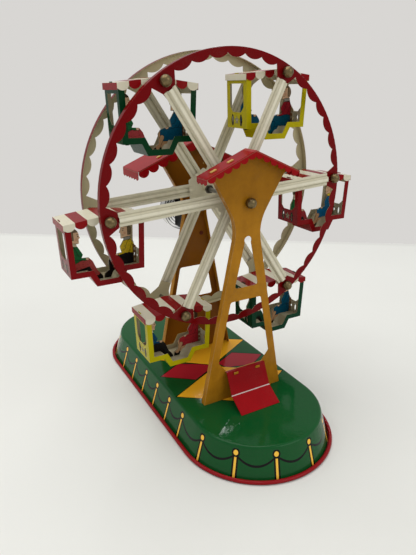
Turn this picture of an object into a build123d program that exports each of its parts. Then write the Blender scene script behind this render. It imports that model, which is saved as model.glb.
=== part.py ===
"""Tinplate toy Ferris wheel driven by a crank-wound clockwork.

X is to the right, Y to the rear and Z up. The origin is the centre of the base's underside,
and the wheel turns about an axle that lies along Y. All sizes are in millimetres.
"""

import os
from math import acos, cos, pi, radians, sin, sqrt, tan

from build123d import *

os.makedirs("parts", exist_ok=True)

# ------------------------------------------------------------------ sheet and clearances

sheet = 0.5  # tinplate of the base, wheel, roofs and cars
plate = 0.7  # heavier plate of the towers and the motor frame
running = 0.05  # radial clearance of a shaft in its hole
slip = 0.15  # clearance round a tab in its slot
apart = 0.3  # gap between faces that move past each other

# ------------------------------------------------------------------ base

base_length = 341.0
base_width = 153.5
base_height = 30.3
bead = 3.6  # thickness of the rolled rim
rim_foot = 9.0  # width of the flat foot that the rim turns inward
skirt_angle = 16.6  # lean of the skirt
skirt_gap = 0.4  # dark gap between the skirt and the rolled rim
base_round = 3.0

# ------------------------------------------------------------------ wheel

wheel_y = -21.5  # the wheel stands ahead of the base's middle, to leave room for the motor
axle_z = 224.3
axle_radius = 2.0
ring_radius = 125.2
ring_spread = 54.6  # over the outer faces of both rings
ring_flange = 5.5
scallop_notch = 120.3  # radius of the notches between two scallops
scallop_tip = 116.9
scallop_angle = 8.1
scallops = 6  # between two pivots
pivot_radius = 118.2
pivot_angle = 124.0  # the first car's place, from +X towards +Z
cars = 6
lug_inner = 103.0
lug_shoulder = 110.6
lug_width = 13.0
lug_end_width = 10.8
arm_width = 12.0
arm_flange = 2.9
arm_height = 2.8
arm_end = 110.5
arm_start = 11.0
hub_flat = 17.0  # from the hub plate's centre to its flats
nut_flats = 7.5
nut_height = 3.2
hub_sleeve = 8.0  # sleeve between a hub plate and its inner nut
sleeve_radius = 3.1
cap_radius = 4.8
cap_seat = 3.2  # from the face behind it to the middle of a ball cap
cap_gap = 0.15
rod_radius = 1.5

# ------------------------------------------------------------------ towers

tower_reach = 52.8  # from the wheel's middle to the tower's outer face
tower_foot = 44.6  # half width at the base
neck_z = 204.0
neck = 10.9
cheek = 34.0
cheek_z = 244.0
head = 40.0
tower_round = 40.0  # curve at the neck and the cheek
tower_flange = 6.0
leg_low = 7.6  # width of the legs at the gussets
leg_high = 7.9  # and at the cross rail
arch_z = 194.2
arch_side = 3.4  # half width where the arch begins
arch_side_z = 188.5
arch_foot = 12.9
arch_foot_z = 145.5
rail_z = 133.0  # underside of the upper cross rail
gusset_z = 72.0
sill_z = 58.0
sill_half = 17.5
rear_window_top = 134.0
rear_window_foot = 97.0
window_round = 2.5
foot_tab = 7.0
foot_tab_turn = 5.0
foot_tabs = (-37.0, -13.0, 13.0, 37.0)

# ------------------------------------------------------------------ roofs

ridge_z = 269.5
roof_fall = 0.43  # drop for each millimetre outward
front_roof_size = (47.0, 44.0, 61.0)  # half width, then how near and far from the wheel
front_fringe = 5.8
front_teeth = 3
rear_roof_size = (63.7, 44.0, 85.0)
rear_fringe = 8.9
rear_teeth = 6
tooth_depth = 1.6
roof_scallops = 12
roof_tab = 5.0
roof_tab_turn = 3.0
roof_tabs = (20.7, 36.8)

# ------------------------------------------------------------------ entrance ramp

ramp_half = 22.0
ramp_landing_z = 62.0
ramp_landing = 3.6
ramp_break = 13.5  # from the tower to the crease
ramp_break_z = 41.5
ramp_reach = 31.5
ramp_tab_x = 12.5
ramp_tab_z = 59.4
ramp_tab = 4.6
ramp_tab_turn = 2.2

# ------------------------------------------------------------------ cars

car_foot = 32.5  # half length at the floor
car_top = 34.3  # half length under the awning
car_wall_top = 2.0
car_half_depth = 16.5
car_drop = 48.0  # from the rod down to the floor
well_drop = 58.0
well_top = 16.4
well_foot = 11.1
car_flange = 5.0
window_top = 9.5
window_foot = 34.0
window_half = 11.3
window_corner = 4.5
slot_drop = 41.0
slot_half = 4.2
slot_bow = 1.2
slot_y = 7.0
flower_hole = 1.3
awning_half = 35.5
awning_half_depth = 17.3
awning_peak = 3.0  # ridge above the rod's centre
awning_fall = 0.127
awning_fringe = 6.3
awning_lobe = 3.2
awning_scallops = 7
awning_lip = 5.0
awning_tab = 6.0
awning_tab_rise = 0.8
swing_clear = 0.08

# ------------------------------------------------------------------ passengers

figure_thickness = 1.6
figure_tab = 3.2
figure_tab_x = 23.0
figure_tab_drop = 2.2
sole_lift = 0.3
chair_x = 29.9
chair_holes = ((-34.5, 1.5, 3.6), (-39.6, 1.5, 3.6), (-44.6, 1.5, 3.2))

# ------------------------------------------------------------------ clockwork

motor_half = 13.5
motor_depth = 16.0  # from the tower to the back plate's front
motor_foot_z = 178.0
motor_side_top = 203.0
motor_ear_z = 165.0
motor_ear_half = 5.2
motor_rivet_x = 9.4
motor_rivet_z = 170.3
rivet_radius = 1.2
rivet_head = 2.1
rivet_rise = 0.8
shoulder_z = 228.0
crown_z = 236.0
crown_half = 18.0
motor_top_z = 260.0
pillar_x = 13.5
pillar_z = 255.5
pillar_radius = 2.0
pillar_end = 1.2

pressure_angle = radians(25)
addendum = 0.8
dedendum = 1.1
drive_module = 0.7
drive_backlash = 0.22
axle_teeth = 48
great_teeth = 32
pinion_teeth = 10
fan_module = 0.5
fan_backlash = 0.16
governor_teeth = 40

gear_y = 57.2  # front of the drive gears, from the wheel's middle
gear_width = 2.0
great_width = 1.5
gear_boss = 4.0
arbor_radius = 2.0
arbor_shoulder = 2.9
small_arbor = 0.9
governor_y = 62.2
governor_width = 1.4
fan_radius = 5.8
fan_length = 4.0
fan_blade = 0.5

ratchet_teeth = 12
ratchet_outer = 5.4
ratchet_root = 4.3
ratchet_width = 1.4
click_pivot = 8.6
click_turn = 55.0  # from the nose's tooth to the pivot
click_place = 150.0  # the pivot's angle on the great wheel
click_pin = 0.8
click_boss = 1.4

spring_turns = 9
spring_outer = 25.3
spring_thickness = 0.45
spring_width = 11.0
spring_y = 72.0
spring_hook_angle = 70.0
spring_post = 1.5
hook_clear = 0.2
hook_turn = 230.0

crank_y = 87.0
crank_throw = 32.0
crank_angle = -50.0
crank_thickness = 2.0
crank_eye = 5.0
crank_tip = 4.0
crank_square = 2.8
crank_nut_height = 3.0
knob_length = 17.0
knob_radius = 4.6
knob_waist = 3.5
knob_neck = 3.1
knob_end = 2.9
knob_pin_radius = 1.5
knob_pin_head = 2.6
knob_pin_head_height = 1.2

# ------------------------------------------------------------------ places worked out

front, rear = -1, 1
ring_face = ring_spread / 2
arbor_z = axle_z - drive_module * (axle_teeth + great_teeth) / 2
governor_z = axle_z + drive_module * (axle_teeth + pinion_teeth) / 2
fan_x = fan_module * (governor_teeth + pinion_teeth) / 2
back_plate_y = tower_reach + motor_depth
tower_slope = (tower_foot - neck) / (neck_z - base_height)
pin_hole = rod_radius + running
seat_z = sheet + slip - car_drop  # underside of a figure, from the rod down
sole_z = sheet + sole_lift - well_drop


def place(reach):
    """Y of a thing that lies this far behind the wheel's middle plane."""
    return wheel_y + reach


def upright(reach, x=0.0, z=0.0):
    """Plane across the axle, seen from the front, with its own X to the right and Y up."""
    return Plane(origin=(x, place(reach), z), x_dir=(1, 0, 0), z_dir=(0, -1, 0))


def sideways(x, y=0.0, z=0.0):
    """Plane along the axle, seen from the right, with its own X to the rear and Y up."""
    return Plane(origin=(x, y, z), x_dir=(0, 1, 0), z_dir=(1, 0, 0))


def polar(radius, angle):
    return radius * cos(radians(angle)), radius * sin(radians(angle))


def pivot(number):
    """X and Z of a car's rod, counted clockwise from the upper left."""
    x, z = polar(pivot_radius, pivot_angle - (number - 1) * 360 / cars)
    return x, axle_z + z


def roof_z(x):
    """Height of both roofs' upper faces above a place x."""
    return ridge_z - roof_fall * abs(x)


def leg_edge(z, width):
    """Half width of the opening between the legs, at a height where the legs have this width."""
    return tower_foot - tower_slope * (z - base_height) - width


def save(part, name):
    part.part.label = name
    export_step(part.part, f"parts/{name}.step")


def mirrored(points):
    """A right-hand edge, from bottom to top, closed by its mirror image."""
    return points + [(-x, y) for x, y in reversed(points) if x != 0]


def folded(path, thickness):
    """Closed outline of a folded strip that lies to the left of its path."""
    path = [Vector(*point) for point in path]
    runs = [(b - a).normalized() for a, b in zip(path, path[1:])]
    sides = [Vector(-run.Y, run.X) for run in runs]
    inner = [path[0] + sides[0] * thickness]
    for point, before, after in zip(path[1:-1], sides, sides[1:]):
        middle = (before + after).normalized()
        inner.append(point + middle * (thickness / middle.dot(before)))
    inner.append(path[-1] + sides[-1] * thickness)
    return path + inner[::-1]


def rods(*steps):
    """Round rods along Y, each with its x, z, radius, start and end."""
    with BuildPart() as part:
        for x, z, radius, start, end in steps:
            with BuildSketch(upright(start, x, z)):
                Circle(radius)
            extrude(amount=start - end)
    return part


# ------------------------------------------------------------------ gear teeth


def gear_outline(teeth, module, backlash, first_tooth):
    """Involute outline, as a closed list of points, with a tooth centred on first_tooth."""
    pitch = module * teeth / 2
    base = pitch * cos(pressure_angle)
    tip = pitch + addendum * module
    root = pitch - dedendum * module
    start = max(base, root)
    flank_steps = 5

    def involute(angle):
        return tan(angle) - angle

    def half_tooth(radius):
        thick = (pi * module / 2 - backlash) / (2 * pitch)
        return thick + involute(pressure_angle) - involute(acos(min(1, base / radius)))

    radii = [start + (tip - start) * step / flank_steps for step in range(flank_steps + 1)]
    flank = [(radius, half_tooth(radius)) for radius in radii]
    if root < base:
        flank.insert(0, (root, half_tooth(start)))
    points = []
    for tooth in range(teeth):
        middle = radians(first_tooth) + 2 * pi * tooth / teeth
        for radius, turn in flank:
            points.append((radius * cos(middle - turn), radius * sin(middle - turn)))
        for radius, turn in reversed(flank):
            points.append((radius * cos(middle + turn), radius * sin(middle + turn)))
    return points


# ------------------------------------------------------------------ base


def base_rim():
    """Rolled rim with a flat foot turned inward, on which the toy stands."""
    with BuildPart() as part:
        with BuildSketch(Plane.XY):
            SlotOverall(base_length, base_width, rotation=90)
            inner = bead * 2
            SlotOverall(base_length - inner, base_width - inner, rotation=90, mode=Mode.SUBTRACT)
        extrude(amount=bead)
        fillet(part.edges(), radius=bead * 0.48)
        with BuildSketch(Plane.XY):
            SlotOverall(base_length - bead, base_width - bead, rotation=90)
            inner = bead + 2 * rim_foot
            SlotOverall(base_length - inner, base_width - inner, rotation=90, mode=Mode.SUBTRACT)
        extrude(amount=plate)
    return part


def base_pan():
    """Green pan with a leaning skirt and slots for the towers' foot tabs."""
    inset = 2 * (bead + skirt_gap)
    with BuildPart() as part:
        with BuildSketch(Plane.XY.offset(plate)):
            SlotOverall(base_length - inset, base_width - inset, rotation=90)
        extrude(amount=base_height - plate, taper=skirt_angle)
        fillet(part.faces().sort_by(Axis.Z)[-1].edges(), radius=base_round)
        offset(amount=-sheet, openings=part.faces().sort_by(Axis.Z)[0])
        for side in (front, rear):
            middle = place(side * (tower_reach - plate / 2))
            with BuildSketch(Plane.XY.offset(base_height)):
                with Locations([(x, middle) for x in foot_tabs]):
                    Rectangle(foot_tab + 2 * slip, plate + 2 * slip)
            extrude(amount=-2 * sheet, mode=Mode.SUBTRACT)
    return part


# ------------------------------------------------------------------ towers


def front_windows():
    """Arched window above a cross rail, and a wide one with gussets below it."""
    with BuildSketch() as windows:
        with BuildLine():
            arch = [(-arch_side, arch_side_z), (-arch_foot, arch_foot_z)]
            arch += [(arch_foot, arch_foot_z), (arch_side, arch_side_z)]
            Polyline(*arch)
            ThreePointArc((arch_side, arch_side_z), (0, arch_z), (-arch_side, arch_side_z))
        make_face()
        edge = [(sill_half, sill_z), (leg_edge(gusset_z, leg_low), gusset_z)]
        edge.append((leg_edge(rail_z, leg_high), rail_z))
        Polygon(mirrored(edge))
        fillet(windows.vertices().filter_by(lambda corner: corner.Y < arch_side_z), radius=window_round)
    return windows.sketch


def rear_window():
    with BuildSketch() as window:
        edge = [(leg_edge(z, leg_high), z) for z in (rear_window_foot, rear_window_top)]
        Polygon(mirrored(edge))
        fillet(window.vertices(), radius=window_round)
    return window.sketch


def tower(side, windows, holes, hooks):
    """Pressed tower: flanged panel with a shield head, roof tabs above and foot tabs below."""
    roof_drop = sheet * sqrt(1 + roof_fall**2) + slip
    under_roof = [(head, roof_z(head) - roof_drop), (0, ridge_z - roof_drop)]
    edge = [(tower_foot, base_height), (neck, neck_z), (cheek, cheek_z)]
    under_pan = base_height - sheet - slip - plate
    outer = upright(side * tower_reach)
    with BuildPart() as part:
        with BuildSketch(outer):
            panel = Polygon(mirrored(edge + under_roof))
            bends = panel.vertices().filter_by(lambda corner: neck_z <= corner.Y <= cheek_z)
            fillet(bends, radius=tower_round)
            add(windows, mode=Mode.SUBTRACT)
            for x, z, radius in holes:
                with Locations((x, z)):
                    Circle(radius, mode=Mode.SUBTRACT)
        extrude(amount=side * plate)
        with BuildSketch(outer):
            low = (tower_foot - tower_slope * slip, base_height + slip)
            top = Vector(*under_roof[0])
            high = top + (Vector(*edge[-1]) - top).normalized() * plate
            strip = folded([low] + edge[1:] + [(high.X, high.Y)], plate)
            half = len(strip) // 2
            for turn in (1, -1):
                with BuildLine():
                    sides = [[(turn * x, z) for x, z, _ in strip[:half]]]
                    sides.append([(turn * x, z) for x, z, _ in strip[half:]])
                    for side_points in sides:
                        FilletPolyline(*side_points, radius=tower_round)
                    Line(sides[0][0], sides[1][-1])
                    Line(sides[0][-1], sides[1][0])
                make_face()
        extrude(amount=side * tower_flange)
        for middle in roof_tabs + tuple(-x for x in roof_tabs):
            ends = (middle - roof_tab / 2, middle + roof_tab / 2)
            upper = [(end, roof_z(end) + slip + plate) for end in reversed(ends)]
            for low, turn in ((-roof_drop - plate, plate), (slip, plate - roof_tab_turn)):
                with BuildSketch(outer):
                    Polygon([(end, roof_z(end) + low) for end in ends] + upper)
                extrude(amount=side * turn)
        for x in foot_tabs:
            for top, turn in ((base_height + plate, plate), (under_pan + plate, foot_tab_turn)):
                with BuildSketch(upright(side * tower_reach, x, under_pan)):
                    Rectangle(foot_tab, top - under_pan, align=(Align.CENTER, Align.MIN))
                extrude(amount=side * turn)
        for x, z, length in hooks:
            with BuildSketch(upright(side * tower_reach, x, z)):
                Rectangle(ramp_tab, plate)
            extrude(amount=-side * length)
            with BuildSketch(upright(side * (tower_reach + length), x, z - plate / 2)):
                Rectangle(ramp_tab, ramp_tab_turn, align=(Align.CENTER, Align.MIN))
            extrude(amount=side * plate)
    return part


# ------------------------------------------------------------------ roofs


def scalloped(half, fall, fringe, lobe, count):
    """Gabled fringe below a ridge at the origin, with round scallops along its lower edge."""
    notches = [half * (2 * step / count - 1) for step in range(count + 1)]

    def top(x):
        return -fall * abs(x)

    with BuildSketch() as face:
        with BuildLine():
            low = top(half) - fringe + lobe
            high = top(half) - sheet / 2
            Polyline((-half, low), (-half, high), (0, -sheet / 2), (half, high), (half, low))
            for a, b in zip(notches, notches[1:]):
                tip = (a + b) / 2
                start, end = [(x, top(x) - fringe + lobe) for x in (a, b)]
                ThreePointArc(start, (tip, top(tip) - fringe), end)
        make_face()
    return face.sketch


def gable(half, fall):
    """Outline of a gabled sheet with its upper ridge at the origin."""
    drop = sheet * sqrt(1 + fall**2)
    upper = [(half, -fall * half), (0, 0), (-half, -fall * half)]
    return upper + [(x, z - drop) for x, z in reversed(upper)]


def roof(side, half, inner, outer, fringe, teeth):
    """Gabled canopy with a scalloped fringe before and behind and a toothed lip at each end."""
    valance = scalloped(half - 2 * sheet, roof_fall, fringe, half / roof_scallops, roof_scallops)
    lip_foot = roof_z(half) - fringe
    lip_top = roof_z(half) - sheet / 2
    start, end = sorted((place(side * inner), place(side * outer)))
    step = (end - start) / teeth
    edge = [(end, lip_foot + tooth_depth), (end, lip_top), (start, lip_top)]
    for tooth in range(teeth):
        edge.append((start + tooth * step, lip_foot + tooth_depth))
        edge.append((start + (tooth + 0.5) * step, lip_foot))
    middle = place(side * (tower_reach - plate / 2))
    with BuildPart() as part:
        with BuildSketch(upright(side * inner, 0, ridge_z)):
            Polygon(gable(half, roof_fall))
        extrude(amount=side * (inner - outer))
        for reach, turn in ((inner, -side), (outer, side)):
            with BuildSketch(upright(side * reach, 0, ridge_z)):
                add(valance)
            extrude(amount=turn * sheet)
        for x in (-half, half - sheet):
            with BuildSketch(sideways(x)):
                Polygon(edge)
            extrude(amount=sheet)
        with BuildSketch(Plane.XY.offset(ridge_z)):
            with Locations([(turn * x, middle) for x in roof_tabs for turn in (1, -1)]):
                Rectangle(roof_tab + 2 * slip, plate + 2 * slip)
        extrude(amount=roof_z(half) - ridge_z, mode=Mode.SUBTRACT)
    return part


# ------------------------------------------------------------------ entrance ramp


def ramp_hooks():
    """Tabs of the front tower that pass through the ramp's steep panel, with their length."""
    slope = (ramp_break - ramp_landing) / (ramp_landing_z - ramp_break_z)
    length = ramp_landing + slope * (ramp_landing_z - ramp_tab_z + plate / 2) + slip + plate
    return [(x, ramp_tab_z, length) for x in (-ramp_tab_x, ramp_tab_x)]


def entrance_ramp():
    """Folded ramp from the front tower's sill down to the base."""
    face = place(-tower_reach)
    path = [(face, ramp_landing_z), (face - ramp_landing, ramp_landing_z)]
    path += [(face - ramp_break, ramp_break_z), (face - ramp_reach, base_height + sheet)]
    with BuildPart() as part:
        with BuildSketch(sideways(-ramp_half)):
            Polygon([(point.X, point.Y) for point in folded(path, sheet)])
        extrude(amount=2 * ramp_half)
        for x, z, length in ramp_hooks():
            with BuildSketch(upright(-tower_reach, x, z)):
                Rectangle(ramp_tab + 2 * slip, plate + 2 * slip)
            extrude(amount=length, mode=Mode.SUBTRACT)
    return part


# ------------------------------------------------------------------ wheel


def ring(side):
    """Pressed ring: scalloped face with six lugs, and an outer flange turned inward."""
    sector = 360 / cars
    face = upright(side * ring_face, 0, axle_z)
    with BuildPart() as part:
        with BuildSketch(face):
            Circle(ring_radius)
            with BuildSketch(mode=Mode.SUBTRACT):
                with BuildLine():
                    for number in range(cars):
                        middle = pivot_angle + (number + 0.5) * sector
                        start = middle - scallops / 2 * scallop_angle
                        for step in range(scallops):
                            a = start + step * scallop_angle
                            notch = polar(scallop_notch, a)
                            tip = polar(scallop_tip, a + scallop_angle / 2)
                            ThreePointArc(notch, tip, polar(scallop_notch, a + scallop_angle))
                        lug = middle + sector / 2
                        last = polar(scallop_notch, start + scallops * scallop_angle)
                        first = polar(scallop_notch, start + sector)
                        across = Vector(*polar(1, lug + 90))
                        shoulder = Vector(*polar(lug_shoulder, lug))
                        end = Vector(*polar(lug_inner, lug))
                        Polyline(
                            last,
                            shoulder - across * lug_width / 2,
                            end - across * lug_end_width / 2,
                            end + across * lug_end_width / 2,
                            shoulder + across * lug_width / 2,
                            first,
                        )
                make_face()
            with PolarLocations(pivot_radius, cars, start_angle=pivot_angle):
                Circle(pin_hole, mode=Mode.SUBTRACT)
        extrude(amount=side * sheet)
        with BuildSketch(face):
            Circle(ring_radius)
            Circle(ring_radius - sheet, mode=Mode.SUBTRACT)
        extrude(amount=side * ring_flange)
        corner = part.edges().filter_by(GeomType.CIRCLE).filter_by(lambda edge: edge.radius == ring_radius)
        fillet(corner.sort_by(Axis.Y)[0 if side == front else -1], radius=sheet * 0.9)
    return part


def spider(side):
    """Hub plate with six arms of raised channel section, fixed on the ring's lugs."""
    base = side * ring_face
    flat = arm_width / 2
    rise = flat - arm_flange
    with BuildPart() as part:
        with BuildSketch(upright(base, 0, axle_z)):
            RegularPolygon(hub_flat, cars, major_radius=False, rotation=pivot_angle + 180 / cars)
            Circle(axle_radius, mode=Mode.SUBTRACT)
        extrude(amount=-side * sheet)
        for number in range(cars):
            angle = pivot_angle + number * 360 / cars
            x, z = polar(arm_start, angle)
            across = Vector(*polar(-side, angle + 90))
            direction = polar(1, angle)
            section = Plane(
                origin=(x, place(base), axle_z + z),
                x_dir=(across.X, 0, across.Y),
                z_dir=(direction[0], 0, direction[1]),
            )
            with BuildSketch(section):
                half = [(rise - sheet, 0), (flat, 0), (flat, sheet), (rise, sheet)]
                half += [(rise * 0.7, arm_height), (0, arm_height)]
                Polygon(mirrored(half))
                inner = [(rise - sheet, 0), (rise * 0.7 - sheet / 2, arm_height - sheet)]
                with BuildSketch(mode=Mode.SUBTRACT):
                    Polygon(mirrored(inner))
            extrude(amount=arm_end - arm_start)
    return part


def ball_caps(x, z, ends, shank):
    """Flat-backed brass balls on the ends of a shaft, each with its side and the face behind it."""
    with BuildPart() as part:
        for side, face in ends:
            middle = place(side * (face + cap_seat))
            back = place(side * (face + cap_gap))
            crown = middle + side * cap_radius
            flat = sqrt(cap_radius**2 - (cap_seat - cap_gap) ** 2)
            with BuildSketch(Plane(origin=(x, 0, z))):
                with BuildLine():
                    Polyline((0, crown), (0, back), (flat, back))
                    ThreePointArc((flat, back), (cap_radius, middle), (0, crown))
                make_face()
            revolve(axis=Axis((x, 0, z), (0, 1, 0)))
            with BuildSketch(upright(side * (face + cap_seat), x, z)):
                Circle(shank)
            extrude(amount=side * (cap_seat - cap_gap), mode=Mode.SUBTRACT)
    return part


def rod_caps(number):
    """Caps on both ends of one car's rod."""
    return ball_caps(*pivot(number), [(front, ring_face), (rear, ring_face)], rod_radius)


def hanger_rod(number):
    reach = ring_face + cap_seat
    return rods((*pivot(number), rod_radius, -reach, reach))


def axle_cap():
    return ball_caps(0, axle_z, [(front, tower_reach)], axle_radius)


def axle():
    return rods((0, axle_z, axle_radius, -tower_reach - cap_seat, back_plate_y + plate + 1))


def hub_nuts():
    """Four nuts that clamp both hub plates on the axle, the inner ones through sleeves."""
    inner = ring_face - hub_sleeve
    with BuildPart() as part:
        for side in (front, rear):
            for reach, turn in ((inner, 1), (ring_face + sheet, -1)):
                with BuildSketch(upright(side * reach, 0, axle_z)):
                    RegularPolygon(nut_flats / 2, 6, major_radius=False)
                    Circle(axle_radius, mode=Mode.SUBTRACT)
                extrude(amount=side * turn * nut_height)
            with BuildSketch(upright(side * ring_face, 0, axle_z)):
                Circle(sleeve_radius)
                Circle(axle_radius, mode=Mode.SUBTRACT)
            extrude(amount=side * hub_sleeve)
    return part


# ------------------------------------------------------------------ cars

car_path = [(-car_top, -car_wall_top), (-car_foot, -car_drop)]
car_path += [(-well_top, -car_drop), (-well_foot, -well_drop)]
car_path += [(-x, z) for x, z in reversed(car_path)]


def end_window():
    """Window and pierced balusters of a car's end wall, as seen along X."""
    with BuildSketch() as window:
        edge = [(window_half - window_corner, -window_foot), (window_half, window_corner - window_foot)]
        Polygon(mirrored(edge + [(window_half, -window_top)]))
        for y in (-slot_y, slot_y):
            with BuildLine():
                ends = [(y, -slot_drop - slot_half), (y, -slot_drop + slot_half)]
                for bow in (-slot_bow, slot_bow):
                    ThreePointArc(ends[0], (y + bow, -slot_drop), ends[1])
            make_face()
        with Locations((0, -slot_drop)):
            Circle(flower_hole)
    return window.sketch


def car(number):
    """Folded car: two end walls, two seats and a foot well, with flanges turned in all round."""
    x, z = pivot(number)
    tab_x = car_top - sheet / 2
    tab_top = awning_peak - awning_fall * car_top + awning_tab_rise
    with BuildPart() as part:
        with BuildSketch(upright(car_half_depth, x, z)):
            Polygon([(point.X, point.Y) for point in folded(car_path, sheet)])
        extrude(amount=2 * car_half_depth)
        for side in (front, rear):
            with BuildSketch(upright(side * car_half_depth, x, z)):
                Polygon([(point.X, point.Y) for point in folded(car_path, car_flange)])
            extrude(amount=side * sheet)
        with BuildSketch(sideways(x, wheel_y, z)):
            add(end_window())
        extrude(amount=awning_half, both=True, mode=Mode.SUBTRACT)
        for side in (-1, 1):
            with BuildSketch(upright(awning_tab / 2, x + side * tab_x, z - car_wall_top - sheet)):
                Rectangle(sheet, tab_top + car_wall_top + sheet, align=(Align.CENTER, Align.MIN))
            extrude(amount=awning_tab)
        with BuildSketch(Plane.XY.offset(z - car_drop)):
            with Locations((x - figure_tab_x, wheel_y), (x + figure_tab_x, wheel_y)):
                Rectangle(figure_tab + 2 * slip, figure_thickness + 2 * slip)
        extrude(amount=sheet, mode=Mode.SUBTRACT)
    return part


def awning(number):
    """Striped awning with scalloped fringes, bored for the rod that it hangs on."""
    x, z = pivot(number)
    ridge = z + awning_peak
    lip_x = awning_half - sheet / 2
    lip_top = ridge - awning_fall * awning_half - sheet / 2
    valance = scalloped(awning_half, awning_fall, awning_fringe, awning_lobe, awning_scallops)
    with BuildPart() as part:
        with BuildSketch(upright(awning_half_depth, x, ridge)):
            Polygon(gable(awning_half, awning_fall))
        extrude(amount=2 * awning_half_depth)
        for side in (front, rear):
            with BuildSketch(upright(side * awning_half_depth, x, ridge)):
                add(valance)
                with Locations((0, -awning_peak)):
                    Circle(rod_radius + swing_clear, mode=Mode.SUBTRACT)
            extrude(amount=side * sheet)
        for side in (-1, 1):
            with BuildSketch(upright(awning_half_depth, x + side * lip_x, lip_top)):
                Rectangle(sheet, awning_lip, align=(Align.CENTER, Align.MAX))
            extrude(amount=2 * awning_half_depth)
        with BuildSketch(Plane.XY.offset(ridge)):
            slot_x = car_top - sheet / 2
            with Locations((x - slot_x, wheel_y), (x + slot_x, wheel_y)):
                Rectangle(sheet + 2 * slip, awning_tab + 2 * slip)
        extrude(amount=-awning_fall * awning_half - sheet, mode=Mode.SUBTRACT)
    return part


# ------------------------------------------------------------------ passengers


def figure(side, body, face, head_place, head_size):
    """Seated figure in profile with a tab below it; side is -1 on the left and 1 on the right."""
    with BuildSketch() as shape:
        Polygon([(side * x, z) for x, z in body])
        Polygon([(side * x, z) for x, z in face])
        with Locations((side * head_place[0], head_place[1])):
            Ellipse(*head_size)
        with Locations((side * figure_tab_x, seat_z + sheet)):
            tab_length = seat_z + sheet + car_drop + figure_tab_drop
            Rectangle(figure_tab, tab_length, align=(Align.CENTER, Align.MAX))
    return shape.sketch


def boy(side):
    """Figure in trousers that leans forward with a hand on its knee."""
    body = [(27.5, seat_z), (29.6, -40), (29.4, -29.5), (26.6, -24), (26, -20), (21.6, -20), (21.8, -24)]
    body += [(17, -32.7), (18.6, -36), (12, -36.4), (8.9, -40), (5.4, -49), (0.8, -54.6)]
    body += [(0.6, sole_z), (5, sole_z), (9.4, -53.2), (13, seat_z - 2), (14.6, seat_z)]
    face = [(20, -12.6), (18.2, -17.8), (19.4, -18.6), (19.6, -22.6), (23, -22.8), (23, -13)]
    return figure(side, body, face, (23.2, -15.8), (4.2, 6.2))


def girl(side):
    """Figure in a full skirt on a chair with a pierced back."""
    body = [(31.2, seat_z), (31.2, -31.6), (29.6, -30.4), (27.4, -25.4), (26, -20)]
    body += [(20.8, -20), (20.6, -24.6), (16.6, -31), (18, -36.4), (12, -37), (7.4, -38.8)]
    body += [(5.2, -42), (5.6, -50.2), (1.2, -53.2)]
    body += [(0.7, sole_z), (6.6, sole_z), (8.4, -53), (10.6, -50.8), (12.8, -50.4), (14.6, seat_z)]
    face = [(18.6, -13.4), (16.8, -18), (18, -18.8), (18, -23.4), (22, -23.6), (22, -14)]
    with BuildSketch() as shape:
        add(figure(side, body, face, (22.8, -17), (5.2, 6)))
        for middle, width, height in chair_holes:
            with Locations((side * chair_x, middle)):
                Ellipse(width / 2, height / 2, mode=Mode.SUBTRACT)
    return shape.sketch


def passengers(number):
    """Two flat printed figures, facing each other across the foot well."""
    with BuildPart() as part:
        with BuildSketch(upright(figure_thickness / 2, *pivot(number))):
            add(boy(-1))
            add(girl(1))
        extrude(amount=figure_thickness)
    return part


# ------------------------------------------------------------------ clockwork frame


def motor_frame():
    """Black frame: back plate, two side walls and two ears riveted to the rear tower."""
    edge = [(motor_half, motor_foot_z), (motor_half, shoulder_z)]
    edge += [(crown_half, crown_z), (crown_half, motor_top_z)]
    holes = [(0, axle_z, axle_radius), (0, arbor_z, arbor_radius), (0, governor_z, small_arbor)]
    holes += [(fan_x, governor_z, small_arbor)]
    ear = [(motor_ear_half, motor_ear_z), (motor_half, motor_ear_z), (motor_half, motor_side_top)]
    ear += [(motor_ear_half, motor_side_top)]
    with BuildPart() as part:
        with BuildSketch(upright(back_plate_y + plate)):
            Polygon(mirrored(edge))
            for x, z, radius in holes:
                with Locations((x, z)):
                    Circle(radius + running, mode=Mode.SUBTRACT)
            with Locations((-pillar_x, pillar_z), (pillar_x, pillar_z), spring_post_place()):
                Circle(pillar_end, mode=Mode.SUBTRACT)
        extrude(amount=plate)
        for turn in (-1, 1):
            with BuildSketch(upright(back_plate_y)):
                wall = [(motor_half - plate, motor_foot_z), (motor_half, motor_foot_z)]
                wall += [(motor_half, motor_side_top), (motor_half - plate, motor_side_top)]
                Polygon([(turn * x, z) for x, z in wall])
            extrude(amount=motor_depth)
            with BuildSketch(upright(tower_reach + plate)):
                Polygon([(turn * x, z) for x, z in ear])
                with Locations((turn * motor_rivet_x, motor_rivet_z)):
                    Circle(rivet_radius, mode=Mode.SUBTRACT)
            extrude(amount=plate)
    return part


def spring_post_place():
    """X and Z of the post that the mainspring's outer end hooks round."""
    reach = spring_outer + spring_post + hook_clear + spring_thickness / 2
    x, z = polar(reach, spring_hook_angle)
    return x, arbor_z + z


def motor_posts():
    """Two pillars of the frame and the post that holds the mainspring."""
    steps = []
    for x in (-pillar_x, pillar_x):
        steps.append((x, pillar_z, pillar_end, tower_reach - plate, back_plate_y + plate))
        steps.append((x, pillar_z, pillar_radius, tower_reach, back_plate_y))
    post = spring_post_place()
    steps.append((*post, pillar_end, back_plate_y, back_plate_y + plate))
    steps.append((*post, spring_post, back_plate_y + plate, spring_y + spring_width))
    return rods(*steps)


def motor_rivets():
    """Two rivets that hold the frame's ears on the rear tower."""
    steps = []
    inside, outside = tower_reach - plate, tower_reach + plate
    for x in (-motor_rivet_x, motor_rivet_x):
        steps.append((x, motor_rivet_z, rivet_head, inside - rivet_rise, inside))
        steps.append((x, motor_rivet_z, rivet_radius, inside, outside))
        steps.append((x, motor_rivet_z, rivet_head, outside, outside + rivet_rise))
    return rods(*steps)


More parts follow.
